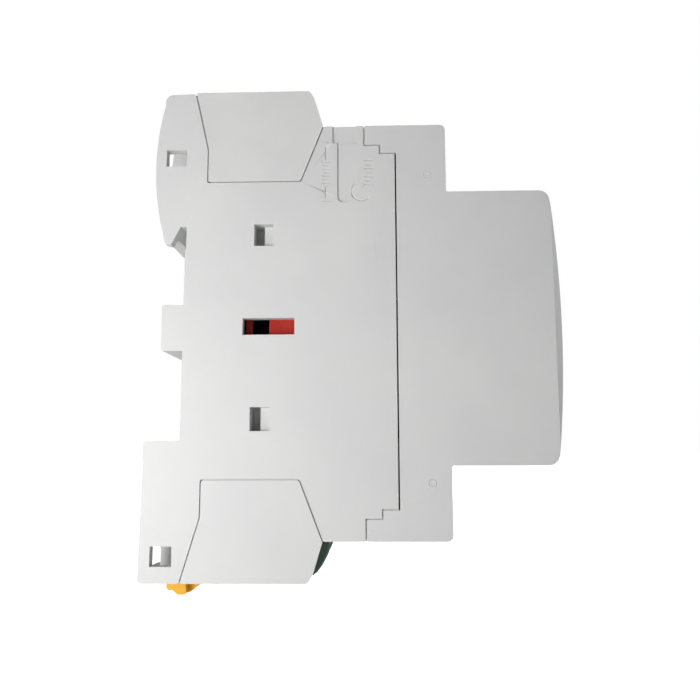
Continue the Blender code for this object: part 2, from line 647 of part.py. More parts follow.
def toroid_winding():
    """Secondary winding: a sleeve round the front part of the core."""
    x, depth = TOROID_AXIS
    low, high = TOROID_Z
    outer = [(5.4, -0.9), (11.2, -0.9), (11.2, high - low + 0.9), (5.4, high - low + 0.9)]
    inner = [(5.9, -0.3), (10.7, -0.3), (10.7, high - low + 0.3), (5.9, high - low + 0.3)]
    body = turned("toroid_winding", outer, (x, depth, low), "Z", "copper", steps=32)
    return cut(body, turned("cut_winding", inner, (x, depth, low), "Z", steps=32),
               box("cut_winding_gap", (-12, 12), (16, 26), (low - 2, high + 2)))


def trip_lever(axis):
    """Red lever: a hub across the housing, a fork behind the side slot, an arm for the relay."""
    depth, height = TRIP_AXIS
    body = rod("trip_lever", 2.0, (-14.6, depth, height), "X", 24.1, "red_plastic",
               axis.location, steps=20)
    arm = [(11.2, 9.6), (9.8, 3.4), (9.8, -2.2), (18.2, -2.2), (18.2, 1.9), (14.9, 9.4)]
    join(body, prism("join_trip_arm", arm, -14.6, -13.0),
         box("join_trip_pad", (-15.6, -14.2), (13.9, 18.2), (-2.2, 1.9)),
         prism("join_trip_tail", [(13, 10.9), (13, 7.1), (6.0, 5.0), (5.6, 6.5)], 5.0, 9.0))
    return cut(body, box("cut_trip_fork", (-17, -12), (10.9, 13.9), (-4, 2.4)),
               rod("cut_trip_bore", 1.1, (-16, depth, height), "X", 27, steps=16))


def relay_case():
    body = box("relay_case", (2.0, 12.0), (2.9, 11.5), (-11.8, 0.4), "white_plastic")
    x, depth = RELAY_AXIS
    return cut(body, box("cut_relay", (2.8, 11.2), (3.7, 10.7), (-12.5, -0.4)),
               rod("cut_relay_hole", 1.35, (x, depth, -2), "Z", 4, steps=16))


def relay_coil():
    x, depth = RELAY_AXIS
    profile = [(1.35, 0), (3.3, 0), (3.3, 0.8), (2.9, 0.8), (2.9, 8.8), (3.3, 8.8), (3.3, 9.6),
               (1.35, 9.6)]
    return turned("relay_coil", profile, (x, depth, -10.9), "Z", "copper", steps=20)


def relay_plunger():
    x, depth = RELAY_AXIS
    profile = [(0, 0), (1.0, 0), (1.0, 12.4), (1.8, 12.4), (1.8, 13.4), (0, 13.4)]
    centre = (x, depth, -8.7)
    return turned("relay_plunger", profile, centre, "Z", "steel", point(*centre), steps=16)


def test_button():
    x, z = BUTTON_AXIS
    profile = [(0, 0), (1.4, 0), (1.4, 9.0), (4.2, 9.0), (4.2, 10.0), (3.2, 10.0), (3.2, 11.8),
               (2.8, 12.2), (0, 12.4)]
    centre = (x, 48.9, z)
    return turned("test_button", profile, centre, "D", "yellow_plastic", point(*centre), steps=32)


def test_button_spring():
    x, z = BUTTON_AXIS
    return tube("test_button_spring", coil((x, 50.7, z), "D", 2.6, 6.5, 4), 0.28, "steel", sides=5)


def test_contact_leaf():
    outline = [(46.4, 10.5), (46.9, 10.5), (46.9, 20.4), (43.0, 20.4), (43.0, 19.9), (46.4, 19.9)]
    return prism("test_contact_leaf", outline, 6.3, 10.3, "brass")


def test_resistor():
    profile = [(0, 0), (0.35, 0), (0.35, 3.0), (2.0, 3.3), (2.0, 11.7), (0.35, 12.0), (0.35, 15),
               (0, 15)]
    return turned("test_resistor", profile, (12.0, 26.0, 27.0), "D", "ceramic", steps=16)


# ---------------------------------------------------------------- trim and clip

def rating_label_plate():
    outline = front_arc(-18.0, -6.0, inset=0.12, steps=8) + front_arc(-6.0, -18.0, inset=0.6, steps=8)
    return prism("rating_label_plate", outline, 1.9, 14.7, "white_plastic")


def status_window():
    return box("status_window", (5.2, 11.4), (60.4, 61.9), (-1.9, 1.9), "clear_plastic")


def pole_barrier():
    return box("pole_barrier", (-0.6, 0.6), (17.5, 36.0), (5.2, 22.4), "white_plastic")


def rail_clip():
    """Sliding clip, drawn open: the claw is flush and the pull tab stands out below."""
    ribs = rounded([(-4.6, -20.6, 0), (-3.0, CLIP_TOP, 0.3), (-1.5, CLIP_TOP, 0.3), (-1.4, -41.0, 0),
                    (-1.15, -43.8, 0.3), (-1.4, CLIP_TIP, 0.25), (-2.6, CLIP_TIP, 0.6),
                    (-3.5, -43.6, 0.5), (-4.6, -43.6, 0.6)])
    origin = point(0, -1.4, CLIP_TOP)
    body = prism("rail_clip", ribs, -6.2, 6.2, "yellow_plastic", origin)
    ramp = [(-1.8, -41.0), (2.9, -41.0), (2.45, -41.5), (0.87, -42.95), (-0.2, -43.75),
            (-0.8, -44.15), (-1.3, -44.3), (-1.8, -44.3)]
    join(body, box("join_clip_rails", (-7.5, 7.5), (-2.6, -1.4), (-39.0, -22.0)),
         prism("join_clip_ramp", ramp, -4.4, 4.4))
    return cut(body, box("cut_clip_window", (-3.6, 3.6), (-6, 0), (-36.5, -25.5)),
               box("cut_clip_slot", (-2.4, 2.4), (-3.4, 0.0), (-45, -42.4)))


def main():
    clear_scene()
    base_housing()
    front_cover()
    rating_label_plate()
    status_window()
    pole_barrier()
    rail_clip()
    for level, end in ((1, "supply"), (-1, "load")):
        terminal_block(level)
        terminal_shield(level)
        for side, pole in ((-1, "line"), (1, "neutral")):
            terminal_screw(level, side, f"{end}_{pole}")
            terminal_cage(level, side, f"{end}_{pole}")

    toggle_axis = axis_empty("toggle_axis", *TOGGLE_AXIS)
    carrier_axis = axis_empty("carrier_axis", *CARRIER_AXIS)
    trip_axis = axis_empty("trip_axis", *TRIP_AXIS)
    swing = math.radians(TOGGLE_SWING)
    link_pin = axis_empty("link_pin", TOGGLE_AXIS[0] - TOGGLE_CRANK * math.cos(swing),
                          TOGGLE_AXIS[1] + TOGGLE_CRANK * math.sin(swing))
    carry(toggle_axis, toggle_handle(toggle_axis), status_flag(toggle_axis))
    carry(carrier_axis, contact_carrier(carrier_axis))
    carry(link_pin, toggle_link(link_pin))
    carry(trip_axis, trip_lever(trip_axis))
    for side, pole in ((-1, "line"), (1, "neutral")):
        supply_busbar(side, pole)
        load_busbar(side, pole)
        conductor(side, pole)
        carry(carrier_axis, moving_contact(side, pole, carrier_axis), contact_spring(side, pole))
    toggle_axis.rotation_euler.x = swing
    carrier_axis.rotation_euler.x = math.radians(-CARRIER_SWING)

    mechanism_frame()
    toggle_spring()
    rod("toggle_axle", 1.2, (-15.7, *TOGGLE_AXIS), "X", 31.4, "steel", steps=16)
    rod("carrier_axle", 0.9, (-15.7, *CARRIER_AXIS), "X", 31.4, "steel", steps=16)
    rod("trip_lever_pin", 0.8, (-15.7, *TRIP_AXIS), "X", 31.4, "steel", steps=16)
    toroid_core()
    toroid_winding()
    relay_case()
    relay_coil()
    relay_plunger()
    test_button()
    test_button_spring()
    test_contact_leaf()
    test_resistor()


main()
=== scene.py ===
# Residual current device: finishes, fine relief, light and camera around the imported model
import math

import bmesh
import bpy
import numpy as np
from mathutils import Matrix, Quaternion, Vector


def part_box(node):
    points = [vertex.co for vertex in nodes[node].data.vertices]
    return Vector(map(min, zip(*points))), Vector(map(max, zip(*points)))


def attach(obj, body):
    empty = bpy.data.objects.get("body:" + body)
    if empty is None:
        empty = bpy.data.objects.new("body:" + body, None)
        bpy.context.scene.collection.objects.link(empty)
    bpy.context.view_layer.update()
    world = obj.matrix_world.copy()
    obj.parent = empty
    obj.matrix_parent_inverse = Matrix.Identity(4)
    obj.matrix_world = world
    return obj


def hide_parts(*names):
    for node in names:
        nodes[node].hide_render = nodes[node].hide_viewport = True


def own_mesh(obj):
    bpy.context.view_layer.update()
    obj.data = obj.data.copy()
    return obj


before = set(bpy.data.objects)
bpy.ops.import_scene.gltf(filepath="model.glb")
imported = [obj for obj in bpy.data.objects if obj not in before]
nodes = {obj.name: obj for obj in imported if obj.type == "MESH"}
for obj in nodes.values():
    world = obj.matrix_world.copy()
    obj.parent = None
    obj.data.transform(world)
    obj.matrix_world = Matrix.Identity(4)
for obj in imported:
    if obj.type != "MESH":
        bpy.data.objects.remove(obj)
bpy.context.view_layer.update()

mm = 0.001
scene = bpy.context.scene
print("frame loaded,", len(nodes), "nodes")


def addNode(tree, kind, settings=None, inputs=None):
    node = tree.nodes.new("ShaderNode" + kind)
    for key, value in (settings or {}).items():
        setattr(node, key, value)
    for key, value in (inputs or {}).items():
        if isinstance(value, bpy.types.NodeSocket):
            tree.links.new(value, node.inputs[key])
        else:
            node.inputs[key].default_value = value
    return node


def newGroup(name, inputs, outputs):
    group = bpy.data.node_groups.new(name, "ShaderNodeTree")
    for label, value in inputs.items():
        kind = "NodeSocketVector" if isinstance(value, tuple) else "NodeSocketFloat"
        socket = group.interface.new_socket(name=label, in_out="INPUT", socket_type=kind)
        socket.default_value = value
    for label in outputs:
        group.interface.new_socket(name=label, in_out="OUTPUT", socket_type="NodeSocketFloat")
    given, result = group.nodes.new("NodeGroupInput"), group.nodes.new("NodeGroupOutput")
    return group, given.outputs, result.inputs


def ramp(tree, value, low, high, toLow=0.0, toHigh=1.0, kind="LINEAR"):
    node = addNode(tree, "MapRange", {"interpolation_type": kind},
                   {"Value": value, "From Min": low, "From Max": high, "To Min": toLow,
                    "To Max": toHigh})
    return node.outputs["Result"]


def maths(tree, operation, first, second=0.0, third=None):
    inputs = {0: first, 1: second}
    if third is not None:
        inputs[2] = third
    return addNode(tree, "Math", {"operation": operation}, inputs).outputs[0]


def blend(tree, share, first, second, mode="MIX"):
    node = addNode(tree, "Mix", {"data_type": "RGBA", "blend_type": mode})
    for index, value in ((0, share), (6, first), (7, second)):
        if isinstance(value, bpy.types.NodeSocket):
            tree.links.new(value, node.inputs[index])
        else:
            node.inputs[index].default_value = value
    return node.outputs[2]


def place(tree):
    return addNode(tree, "TexCoord").outputs["Object"]


# moulded skin: spark-eroded grain as height, and a slow drift of tone across the piece
def makeMouldedSkin():
    group, given, result = newGroup("mouldedSkin", {"Fineness": 5200.0, "Drift": 90.0},
                                    ("Height", "Tone"))
    where = place(group)
    fine = addNode(group, "TexNoise", None, {"Vector": where, "Scale": given["Fineness"], "Detail": 3.0,
                                             "Roughness": 0.62})
    pits = addNode(group, "TexVoronoi", {"feature": "SMOOTH_F1"},
                   {"Vector": where, "Scale": maths(group, "MULTIPLY", given["Fineness"], 0.45)})
    pit = ramp(group, pits.outputs["Distance"], 0.05, 0.6)
    height = maths(group, "MULTIPLY_ADD", fine.outputs[0], 0.65, maths(group, "MULTIPLY", pit, 0.35))
    slow = addNode(group, "TexNoise", None, {"Vector": where, "Scale": given["Drift"], "Detail": 4.0,
                                             "Roughness": 0.55})
    group.links.new(height, result["Height"])
    group.links.new(ramp(group, slow.outputs[0], 0.3, 0.7), result["Tone"])
    return group


# specks: one small dot in some of the cells of a Voronoi pattern
def makeSpecks():
    group, given, result = newGroup("straySpecks", {"Cells": 210.0, "Size": 0.03, "Share": 0.2},
                                    ("Mask",))
    where = place(group)
    cells = addNode(group, "TexVoronoi", None, {"Vector": where, "Scale": given["Cells"]})
    dot = addNode(group, "MapRange", None, {"Value": cells.outputs["Distance"],
                                            "From Min": maths(group, "MULTIPLY", given["Size"], 0.5),
                                            "From Max": given["Size"], "To Min": 1.0, "To Max": 0.0})
    pick = addNode(group, "SeparateColor", None, {"Color": cells.outputs["Color"]})
    chosen = maths(group, "LESS_THAN", pick.outputs[0], given["Share"])
    group.links.new(maths(group, "MULTIPLY", dot.outputs[0], chosen), result["Mask"])
    return group


# rubbed edge and painted highlight: the rim attribute of rounded edges, broken up by noise; the rim
# colour it brings in is partly wear, partly a painted highlight
def makeEdgeWearAndHighlight():
    group, given, result = newGroup("edgeWearAndHighlight", {"Patch": 700.0, "Amount": 0.6}, ("Mask",))
    rim = addNode(group, "Attribute", {"attribute_name": "rim"})
    patch = addNode(group, "TexNoise", None, {"Vector": place(group), "Scale": given["Patch"],
                                              "Detail": 3.0})
    broken = ramp(group, patch.outputs[0], 0.35, 0.6, 0.35, 1.0)
    wornAndHighlit = maths(group, "MULTIPLY", rim.outputs["Fac"], broken)
    group.links.new(maths(group, "MULTIPLY", wornAndHighlit, given["Amount"]), result["Mask"])
    return group


# hairlines: thin level lines of a noise stretched along one direction
def makeHairlines():
    group, given, result = newGroup("hairlines", {"Stretch": (60.0, 60.0, 900.0), "Width": 0.012},
                                    ("Mask",))
    where = addNode(group, "Mapping", None, {"Vector": place(group), "Scale": given["Stretch"],
                                             "Rotation": (0.5, 0.2, 0.0)})
    lines = addNode(group, "TexNoise", None, {"Vector": where.outputs[0], "Scale": 1.0, "Detail": 1.0})
    away = maths(group, "ABSOLUTE", maths(group, "SUBTRACT", lines.outputs[0], 0.5))
    line = addNode(group, "MapRange", None, {"Value": away, "From Min": 0.0, "From Max": given["Width"],
                                             "To Min": 1.0, "To Max": 0.0})
    patch = addNode(group, "TexNoise", None, {"Vector": place(group), "Scale": 130.0, "Detail": 2.0})
    here = ramp(group, patch.outputs[0], 0.52, 0.66)
    group.links.new(maths(group, "MULTIPLY", line.outputs[0], here), result["Mask"])
    return group


# drawn metal: streaks along one direction, and tarnish in soft patches
def makeDrawnMetal():
    group, given, result = newGroup("drawnMetal", {"Streaks": (300.0, 300.0, 6000.0), "Patches": 420.0},
                                    ("Height", "Tarnish"))
    where = addNode(group, "Mapping", None, {"Vector": place(group), "Scale": given["Streaks"]})
    streak = addNode(group, "TexNoise", None, {"Vector": where.outputs[0], "Scale": 1.0, "Detail": 2.0})
    patch = addNode(group, "TexNoise", None, {"Vector": place(group), "Scale": given["Patches"],
                                              "Detail": 5.0, "Roughness": 0.6})
    group.links.new(streak.outputs[0], result["Height"])
    group.links.new(ramp(group, patch.outputs[0], 0.42, 0.7), result["Tarnish"])
    return group


mouldedSkin = makeMouldedSkin()
straySpecks = makeSpecks()
edgeWearAndHighlight = makeEdgeWearAndHighlight()
hairlines = makeHairlines()
drawnMetal = makeDrawnMetal()


def useGroup(tree, group, inputs=None):
    node = tree.nodes.new("ShaderNodeGroup")
    node.node_tree = group
    for key, value in (inputs or {}).items():
        node.inputs[key].default_value = value
    return node.outputs


def startMaterial(name, constants):
    made = bpy.data.materials.new(name)
    made.use_nodes = True
    shader = made.node_tree.nodes["Principled BSDF"]
    for key, value in constants.items():
        shader.inputs[key].default_value = value
    return made, made.node_tree, shader.inputs


def bump(tree, height, strength, distance):
    return addNode(tree, "Bump", None, {"Height": height, "Strength": strength,
                                        "Distance": distance * mm}).outputs[0]


def grey(value):
    return (value, value, value, 1.0)


wearFinish = {"rimPolish": 0.12, "linePolish": 0.1, "lineDepth": 0.4}  # roughness taken off, and height


# moulded plastic; colour, shade and rim are linear colours; the lighter rim colour on rounded edges is
# partly wear, partly a painted highlight
def plastic(name, look):
    made, tree, shader = startMaterial(name, look.get("constants", {}))
    skin = useGroup(tree, mouldedSkin, {"Fineness": look["fineness"], "Drift": look["drift"]})
    colour = blend(tree, skin["Tone"], look["shade"], look["colour"])
    edge = useGroup(tree, edgeWearAndHighlight, {"Amount": look["wearAndHighlight"]})
    # rounded edges turn towards the lighter rim colour: partly wear, partly a painted highlight
    colour = blend(tree, edge["Mask"], colour, look["rim"])
    scratch = useGroup(tree, hairlines)
    if look.get("specks"):
        cells, size, share, tint = look["specks"]
        dots = useGroup(tree, straySpecks, {"Cells": cells, "Size": size, "Share": share})
        colour = blend(tree, dots["Mask"], colour, tint)
    smooth, rough = look["roughness"]
    base = ramp(tree, skin["Tone"], 0.0, 1.0, smooth, rough)
    wornAndHighlit = maths(tree, "MULTIPLY_ADD", edge["Mask"], -wearFinish["rimPolish"], base)
    tree.links.new(colour, shader["Base Color"])
    tree.links.new(maths(tree, "MULTIPLY_ADD", scratch["Mask"], -wearFinish["linePolish"], wornAndHighlit),
                   shader["Roughness"])
    relief = maths(tree, "MULTIPLY_ADD", scratch["Mask"], -wearFinish["lineDepth"], skin["Height"])
    tree.links.new(bump(tree, relief, look["bump"], look["depth"]), shader["Normal"])
    return made


# bare or plated metal with drawing streaks and tarnish, and rounded edges lightened, partly wear and
# partly a painted highlight
def metal(name, look):
    made, tree, shader = startMaterial(name, {"Metallic": 1.0})
    drawn = useGroup(tree, drawnMetal, {"Streaks": look["streaks"], "Patches": look["patches"]})
    colour = blend(tree, drawn["Tarnish"], look["colour"], look["tarnish"])
    edge = useGroup(tree, edgeWearAndHighlight, {"Amount": look["wearAndHighlight"]})
    # rounded edges turn towards the lighter rim colour: partly wear, partly a painted highlight
    tree.links.new(blend(tree, edge["Mask"], colour, look["rim"]), shader["Base Color"])
    smooth, rough = look["roughness"]
    tree.links.new(ramp(tree, drawn["Tarnish"], 0.0, 1.0, smooth, rough), shader["Roughness"])
    tree.links.new(bump(tree, drawn["Height"], look["bump"], look["depth"]), shader["Normal"])
    return made


# in each look, rim and the amount that goes with it lighten rounded edges: partly wear, partly a painted
# highlight
housingLook = {"colour": (0.605, 0.61, 0.607, 1.0), "shade": (0.57, 0.576, 0.576, 1.0),
               "rim": (0.7, 0.705, 0.7, 1.0), "roughness": (0.5, 0.6), "fineness": 5200.0, "drift": 60.0,
               "wearAndHighlight": 0.5, "bump": 0.22, "depth": 0.02, "specks": (230.0, 0.02, 0.1, grey(0.22))}
blockLook = dict(housingLook, drift=75.0, colour=(0.615, 0.618, 0.614, 1.0))
clipLook = {"colour": (0.84, 0.46, 0.03, 1.0), "shade": (0.76, 0.38, 0.02, 1.0),
            "rim": (0.92, 0.6, 0.12, 1.0), "roughness": (0.4, 0.52), "fineness": 3600.0, "drift": 120.0,
            "wearAndHighlight": 0.6, "bump": 0.12, "depth": 0.02,
            "constants": {"Subsurface Weight": 0.1, "Subsurface Scale": 0.001,
                          "Specular IOR Level": 0.3}}
shieldLook = {"colour": (0.045, 0.105, 0.058, 1.0), "shade": (0.03, 0.078, 0.04, 1.0),
              "rim": (0.11, 0.19, 0.13, 1.0), "roughness": (0.42, 0.55), "fineness": 4200.0,
              "drift": 200.0, "wearAndHighlight": 0.7, "bump": 0.2, "depth": 0.02}
leverLook = {"colour": (0.022, 0.022, 0.024, 1.0), "shade": (0.015, 0.015, 0.017, 1.0),
             "rim": (0.06, 0.06, 0.062, 1.0), "roughness": (0.3, 0.42), "fineness": 5000.0,
             "drift": 160.0, "wearAndHighlight": 0.8, "bump": 0.15, "depth": 0.02,
             "specks": (420.0, 0.03, 0.2, grey(0.2))}
tripLook = {"colour": (0.44, 0.028, 0.019, 1.0), "shade": (0.36, 0.018, 0.013, 1.0),
            "rim": (0.52, 0.06, 0.05, 1.0), "roughness": (0.32, 0.44), "fineness": 4200.0,
            "drift": 240.0, "wearAndHighlight": 0.7, "bump": 0.12, "depth": 0.02,
            "constants": {"Specular IOR Level": 0.3}}
carrierLook = dict(leverLook, colour=(0.035, 0.034, 0.034, 1.0), roughness=(0.5, 0.65), bump=0.3)
insulatorLook = {"colour": (0.74, 0.73, 0.69, 1.0), "shade": (0.69, 0.68, 0.63, 1.0),
                 "rim": (0.82, 0.81, 0.78, 1.0), "roughness": (0.45, 0.6), "fineness": 4600.0,
                 "drift": 140.0, "wearAndHighlight": 0.5, "bump": 0.2, "depth": 0.02}
buttonLook = dict(clipLook, colour=(0.86, 0.56, 0.06, 1.0), shade=(0.8, 0.5, 0.045, 1.0))
coreLook = dict(leverLook, colour=(0.06, 0.062, 0.07, 1.0), shade=(0.045, 0.047, 0.052, 1.0))
blueLook = {"colour": (0.03, 0.12, 0.46, 1.0), "shade": (0.022, 0.095, 0.38, 1.0),
            "rim": (0.08, 0.2, 0.55, 1.0), "roughness": (0.3, 0.42), "fineness": 2600.0, "drift": 300.0,
            "wearAndHighlight": 0.4, "bump": 0.12, "depth": 0.03}
blackLook = dict(blueLook, colour=(0.024, 0.024, 0.026, 1.0), shade=(0.016, 0.016, 0.018, 1.0),
                 rim=(0.07, 0.07, 0.07, 1.0))
resistorLook = {"colour": (0.5, 0.36, 0.22, 1.0), "shade": (0.42, 0.29, 0.17, 1.0),
                "rim": (0.58, 0.45, 0.3, 1.0), "roughness": (0.28, 0.4), "fineness": 2400.0,
                "drift": 500.0, "wearAndHighlight": 0.4, "bump": 0.2, "depth": 0.03}
enamelLook = {"colour": (0.5, 0.17, 0.06, 1.0), "shade": (0.4, 0.12, 0.04, 1.0),
              "rim": (0.6, 0.26, 0.12, 1.0), "roughness": (0.18, 0.3), "fineness": 3800.0,
              "drift": 700.0, "wearAndHighlight": 0.3, "bump": 0.1, "depth": 0.02,
              "constants": {"Metallic": 0.4, "Coat Weight": 0.5}}

steelLook = {"colour": (0.58, 0.585, 0.59, 1.0), "tarnish": (0.47, 0.47, 0.46, 1.0),
             "rim": (0.75, 0.75, 0.75, 1.0), "roughness": (0.26, 0.42),
             "streaks": (400.0, 5200.0, 5200.0), "patches": 380.0, "wearAndHighlight": 0.5, "bump": 0.15,
             "depth": 0.02}
springLook = dict(steelLook, colour=(0.42, 0.42, 0.43, 1.0), roughness=(0.3, 0.5), patches=900.0)
copperLook = dict(steelLook, colour=(0.78, 0.38, 0.22, 1.0), tarnish=(0.5, 0.22, 0.12, 1.0),
                  rim=(0.9, 0.52, 0.34, 1.0), roughness=(0.28, 0.5))
brassLook = dict(steelLook, colour=(0.72, 0.66, 0.5, 1.0), tarnish=(0.55, 0.47, 0.31, 1.0),
                 rim=(0.86, 0.8, 0.64, 1.0), roughness=(0.26, 0.45), streaks=(5200.0, 5200.0, 420.0))

finish = {
    "housing_plastic": plastic("housingGrey", housingLook),
    "block_plastic": plastic("terminalBlockGrey", blockLook),
    "clip_plastic": plastic("clipYellow", clipLook),
    "shield_plastic": plastic("shieldGreen", shieldLook),
    "lever_plastic": plastic("leverBlack", leverLook),
    "trip_plastic": plastic("tripRed", tripLook),
    "carrier_plastic": plastic("carrierBlack", carrierLook),
    "insulating_plastic": plastic("insulatorWhite", insulatorLook),
    "button_plastic": plastic("testYellow", buttonLook),
    "core_case": plastic("coreCase", coreLook),
    "insulation_blue": plastic("wireBlue", blueLook),
    "insulation_black": plastic("wireBlack", blackLook),
    "resistor_body": plastic("resistorLacquer", resistorLook),
    "enamelled_wire": plastic("enamelledWire", enamelLook),
    "steel": metal("zincedSteel", steelLook),
    "spring_steel": metal("springWire", springLook),
    "copper_bar": metal("busbarCopper", copperLook),
    "tinned_brass": metal("cageBrass", brassLook),
}


# clear window: plain glass values, faint roughness drift
def clearWindow():
    made, tree, shader = startMaterial("windowClear", {"Transmission Weight": 1.0, "IOR": 1.58,
                                                       "Base Color": (0.93, 0.96, 0.96, 1.0)})
    skin = useGroup(tree, mouldedSkin, {"Fineness": 900.0, "Drift": 260.0})
    tree.links.new(ramp(tree, skin["Tone"], 0.0, 1.0, 0.02, 0.07), shader["Roughness"])
    return made


drumColours = {"axisDepth": 50.0, "split": -38.0, "soft": 0.01,
               "off": (0.05, 0.3, 0.09, 1.0), "on": (0.5, 0.04, 0.03, 1.0)}


# status drum: one colour either side of an angle round the drum's axis
def statusDrum(look):
    made, tree, shader = startMaterial("statusDrum", {})
    skin = useGroup(tree, mouldedSkin, {"Fineness": 4200.0, "Drift": 300.0})
    parts = addNode(tree, "SeparateXYZ", None, {"Vector": place(tree)})
    forward = maths(tree, "MULTIPLY_ADD", parts.outputs["Y"], -1.0, -look["axisDepth"] * mm)
    angle = maths(tree, "ARCTAN2", parts.outputs["Z"], forward)
    split, soft = math.radians(look["split"]), look["soft"]
    colour = blend(tree, ramp(tree, angle, split - soft, split + soft), look["on"], look["off"])
    colour = blend(tree, maths(tree, "MULTIPLY", skin["Tone"], 0.2), colour, grey(0.5))
    tree.links.new(colour, shader["Base Color"])
    tree.links.new(ramp(tree, skin["Tone"], 0.0, 1.0, 0.35, 0.5), shader["Roughness"])
    tree.links.new(bump(tree, skin["Height"], 0.15, 0.02), shader["Normal"])
    return made


labelPrint = {"left": 1.9, "bottom": -18.0, "width": 12.8, "height": 12.0, "rows": 6.25, "cells": 22.0,
              "empty": 0.36, "bar": (0.4, 0.68), "rule": 0.155, "ink": grey(0.05),
              "paper": (0.73, 0.74, 0.745, 1.0), "band": (0.18, 0.2, 0.21, 1.0)}
labelZones = {  # left, right, bottom and top, as shares of the label
    "blocks": (0.09, 0.64, 0.06, 0.76), "frame": (0.7, 0.94, 0.1, 0.72),
    "band": (0.04, 0.96, 0.83, 0.97)}


# printed film: a dark band, a ruled frame and rows of plain blocks whose lengths vary from row to row
def labelFilm(printed, zones):
    made, tree, shader = startMaterial("labelFilm", {"Coat Weight": 0.25})
    skin = useGroup(tree, mouldedSkin, {"Fineness": 3800.0, "Drift": 160.0})
    parts = addNode(tree, "SeparateXYZ", None, {"Vector": place(tree)}).outputs
    left, bottom = printed["left"], printed["bottom"]
    across = ramp(tree, parts["X"], left * mm, (left + printed["width"]) * mm)
    up = ramp(tree, parts["Z"], bottom * mm, (bottom + printed["height"]) * mm)

    def between(value, low, high):
        above = maths(tree, "GREATER_THAN", value, low)
        return maths(tree, "MULTIPLY", above, maths(tree, "LESS_THAN", value, high))

    def zone(name, wide=0.0, high=0.0):
        left, right, low, top = zones[name]
        return maths(tree, "MULTIPLY", between(across, left + wide, right - wide),
                     between(up, low + high, top - high))

    row = maths(tree, "MULTIPLY", up, printed["rows"])
    column = maths(tree, "FLOOR", maths(tree, "MULTIPLY", across, printed["cells"]))
    pair = addNode(tree, "CombineXYZ", None, {"X": maths(tree, "FLOOR", row), "Y": column})
    cells = addNode(tree, "TexWhiteNoise", {"noise_dimensions": "2D"}, {"Vector": pair.outputs[0]})
    filled = maths(tree, "GREATER_THAN", cells.outputs["Value"], printed["empty"])
    block = maths(tree, "MULTIPLY", filled, between(maths(tree, "FRACT", row), *printed["bar"]))
    ink = maths(tree, "MULTIPLY", block, zone("blocks"))
    rule = printed["rule"]
    inner = zone("frame", rule / printed["width"], rule / printed["height"])
    ruled = maths(tree, "SUBTRACT", zone("frame"), inner)
    colour = blend(tree, maths(tree, "MAXIMUM", ink, ruled), printed["paper"], printed["ink"])
    colour = blend(tree, zone("band"), colour, printed["band"])
    colour = blend(tree, maths(tree, "MULTIPLY", skin["Tone"], 0.08), colour, grey(0.4))
    tree.links.new(colour, shader["Base Color"])
    tree.links.new(ramp(tree, skin["Tone"], 0.0, 1.0, 0.32, 0.44), shader["Roughness"])
    tree.links.new(bump(tree, skin["Height"], 0.08, 0.01), shader["Normal"])
    return made


finish["window_clear"] = clearWindow()
finish["flag_plastic"] = statusDrum(drumColours)
finish["label_film"] = labelFilm(labelPrint, labelZones)
print("finishes made:", len(finish))


def register(piece, body, slotName, material=None, replaced=()):
    piece.data.materials.clear()
    piece.data.materials.append(material or finish[slotName])
    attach(piece, body)
    if replaced:
        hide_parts(*replaced)
    return piece


def newPiece(name, mesh):
    piece = bpy.data.objects.new(name, mesh)
    scene.collection.objects.link(piece)
    return piece


# takes a cutter's shape out of a piece for good, and removes the cutter
def engrave(piece, cutter):
    step = piece.modifiers.new("engraved", "BOOLEAN")
    step.operation, step.solver, step.object = "DIFFERENCE", "EXACT", cutter
    carved = bpy.data.meshes.new_from_object(piece.evaluated_get(bpy.context.evaluated_depsgraph_get()))
    piece.modifiers.clear()
    piece.data = carved
    bpy.data.objects.remove(cutter)


copyTidy = {"merge": 0.002, "flat": 0.4, "turn": 30, "weight": 90}  # mm, degrees, degrees, share


# copy of a CAD node with its doubles merged, coplanar triangles joined and its edges rounded
def roundedCopy(node, name, body, slotName, edge, material=None, cutter=None):
    work = bmesh.new()
    work.from_mesh(nodes[node].data)
    rim = work.faces.layers.float.new("rim")
    bmesh.ops.remove_doubles(work, verts=work.verts, dist=copyTidy["merge"] * mm)
    bmesh.ops.dissolve_limit(work, angle_limit=math.radians(copyTidy["flat"]), verts=work.verts,
                             edges=work.edges)
    manySided = [face for face in work.faces if len(face.verts) > 4]
    bmesh.ops.triangulate(work, faces=manySided, ngon_method="BEAUTY")  # else some cover a window
    sharp = [e for e in work.edges
             if e.is_manifold and e.calc_face_angle(0.0) > math.radians(copyTidy["turn"])]
    made = bmesh.ops.bevel(work, geom=sharp, offset=edge["width"] * mm, offset_type="OFFSET",
                           segments=edge.get("steps", 2), profile=0.5, affect="EDGES",
                           clamp_overlap=True)
    # bevel faces get the rim attribute, which later lightens their colour: partly wear, partly a painted
    # highlight
    for face in made["faces"]:
        face[rim] = 1.0
    mesh = bpy.data.meshes.new(name)
    work.to_mesh(mesh)
    work.free()
    mesh.shade_smooth()
    piece = newPiece(name, mesh)
    if cutter:
        engrave(piece, cutter)
    weighted = piece.modifiers.new("evenNormals", "WEIGHTED_NORMAL")
    weighted.weight = copyTidy["weight"]
    return register(piece, body, slotName, material, (node,))


